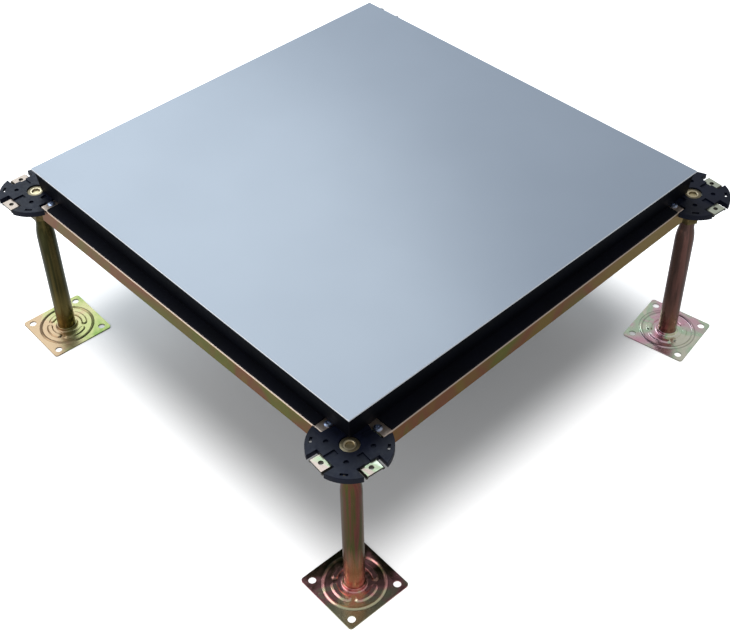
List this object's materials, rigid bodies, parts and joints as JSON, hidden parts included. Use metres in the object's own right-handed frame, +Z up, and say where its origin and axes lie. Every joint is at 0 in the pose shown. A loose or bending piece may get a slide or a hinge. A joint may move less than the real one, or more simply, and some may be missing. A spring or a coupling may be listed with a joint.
{
  "type": "raised access floor panel",
  "caption": "Square access floor panel with a pale laminate top and black edges, on four height-adjustable pedestals tied by channel stringers.",
  "frame": {"origin": "centre of the assembly on the subfloor, under the middle of the panel", "axes": "+Z up; X and Y along the panel's sides; the pictured near corner is at +X -Y"},
  "size_m": [0.6973, 0.6973, 0.28],
  "materials": {
    "top_laminate": "satin, pale blue-grey",
    "core_board": "pressed particle board",
    "edge_band": "black edge band",
    "bottom_steel": "galvanised sheet",
    "yellow_zinc_stringer": "yellow chromated zinc",
    "gasket": "matt black strip",
    "zinc_screw": "blue zinc",
    "yellow_zinc_head": "pale yellow chromated zinc",
    "black_plastic": "moulded, satin",
    "stud_zinc": "yellow chromated zinc",
    "yellow_zinc_tube": "dark iridescent yellow chromated zinc",
    "yellow_zinc_base": "iridescent yellow chromated zinc"
  },
  "bodies": {
    "deck": {"panel_top_sheet": "top_laminate", "panel_core": "core_board", "panel_edge_band": "edge_band", "panel_bottom_sheet": "bottom_steel", "front_stringer": "yellow_zinc_stringer", "right_stringer": "yellow_zinc_stringer", "back_stringer": "yellow_zinc_stringer", "left_stringer": "yellow_zinc_stringer", "front_gasket": "gasket", "right_gasket": "gasket", "back_gasket": "gasket", "left_gasket": "gasket", "stringer_screws": "zinc_screw", "front_left_head_plate": "yellow_zinc_head", "front_left_locating_disc": "black_plastic", "front_left_stud": "stud_zinc", "front_right_head_plate": "yellow_zinc_head", "front_right_locating_disc": "black_plastic", "front_right_stud": "stud_zinc", "back_right_head_plate": "yellow_zinc_head", "back_right_locating_disc": "black_plastic", "back_right_stud": "stud_zinc", "back_left_head_plate": "yellow_zinc_head", "back_left_locating_disc": "black_plastic", "back_left_stud": "stud_zinc"},
    "front_left_leg": {"front_left_tube": "yellow_zinc_tube", "front_left_base_plate": "yellow_zinc_base"},
    "front_left_nut": {"front_left_lock_nut": "stud_zinc"},
    "front_right_leg": {"front_right_tube": "yellow_zinc_tube", "front_right_base_plate": "yellow_zinc_base"},
    "front_right_nut": {"front_right_lock_nut": "stud_zinc"},
    "back_right_leg": {"back_right_tube": "yellow_zinc_tube", "back_right_base_plate": "yellow_zinc_base"},
    "back_right_nut": {"back_right_lock_nut": "stud_zinc"},
    "back_left_leg": {"back_left_tube": "yellow_zinc_tube", "back_left_base_plate": "yellow_zinc_base"},
    "back_left_nut": {"back_left_lock_nut": "stud_zinc"}
  },
  "joints": [
    {"name": "front_left_height", "type": "slide", "parent": "deck", "child": "front_left_leg", "axis": [0, 0, 1], "range_m": [-0.02, 0.02]},
    {"name": "front_left_nut_turn", "type": "hinge", "parent": "front_left_leg", "child": "front_left_nut", "pos_m": [-0.3, -0.3, 0.207], "axis": [0, 0, 1], "range_deg": [-3601, 3601]},
    {"name": "front_right_height", "type": "slide", "parent": "deck", "child": "front_right_leg", "axis": [0, 0, 1], "range_m": [-0.02, 0.02]},
    {"name": "front_right_nut_turn", "type": "hinge", "parent": "front_right_leg", "child": "front_right_nut", "pos_m": [0.3, -0.3, 0.207], "axis": [0, 0, 1], "range_deg": [-3601, 3601]},
    {"name": "back_right_height", "type": "slide", "parent": "deck", "child": "back_right_leg", "axis": [0, 0, 1], "range_m": [-0.02, 0.02]},
    {"name": "back_right_nut_turn", "type": "hinge", "parent": "back_right_leg", "child": "back_right_nut", "pos_m": [0.3, 0.3, 0.207], "axis": [0, 0, 1], "range_deg": [-3601, 3601]},
    {"name": "back_left_height", "type": "slide", "parent": "deck", "child": "back_left_leg", "axis": [0, 0, 1], "range_m": [-0.02, 0.02]},
    {"name": "back_left_nut_turn", "type": "hinge", "parent": "back_left_leg", "child": "back_left_nut", "pos_m": [-0.3, 0.3, 0.207], "axis": [0, 0, 1], "range_deg": [-3601, 3601]}
  ],
  "couplings": [
    {"joint": "front_left_nut_turn", "follows": "front_left_height", "rad_per_m": 3141.6},
    {"joint": "front_right_nut_turn", "follows": "front_right_height", "rad_per_m": 3141.6},
    {"joint": "back_right_nut_turn", "follows": "back_right_height", "rad_per_m": 3141.6},
    {"joint": "back_left_nut_turn", "follows": "back_left_height", "rad_per_m": 3141.6}
  ]
}
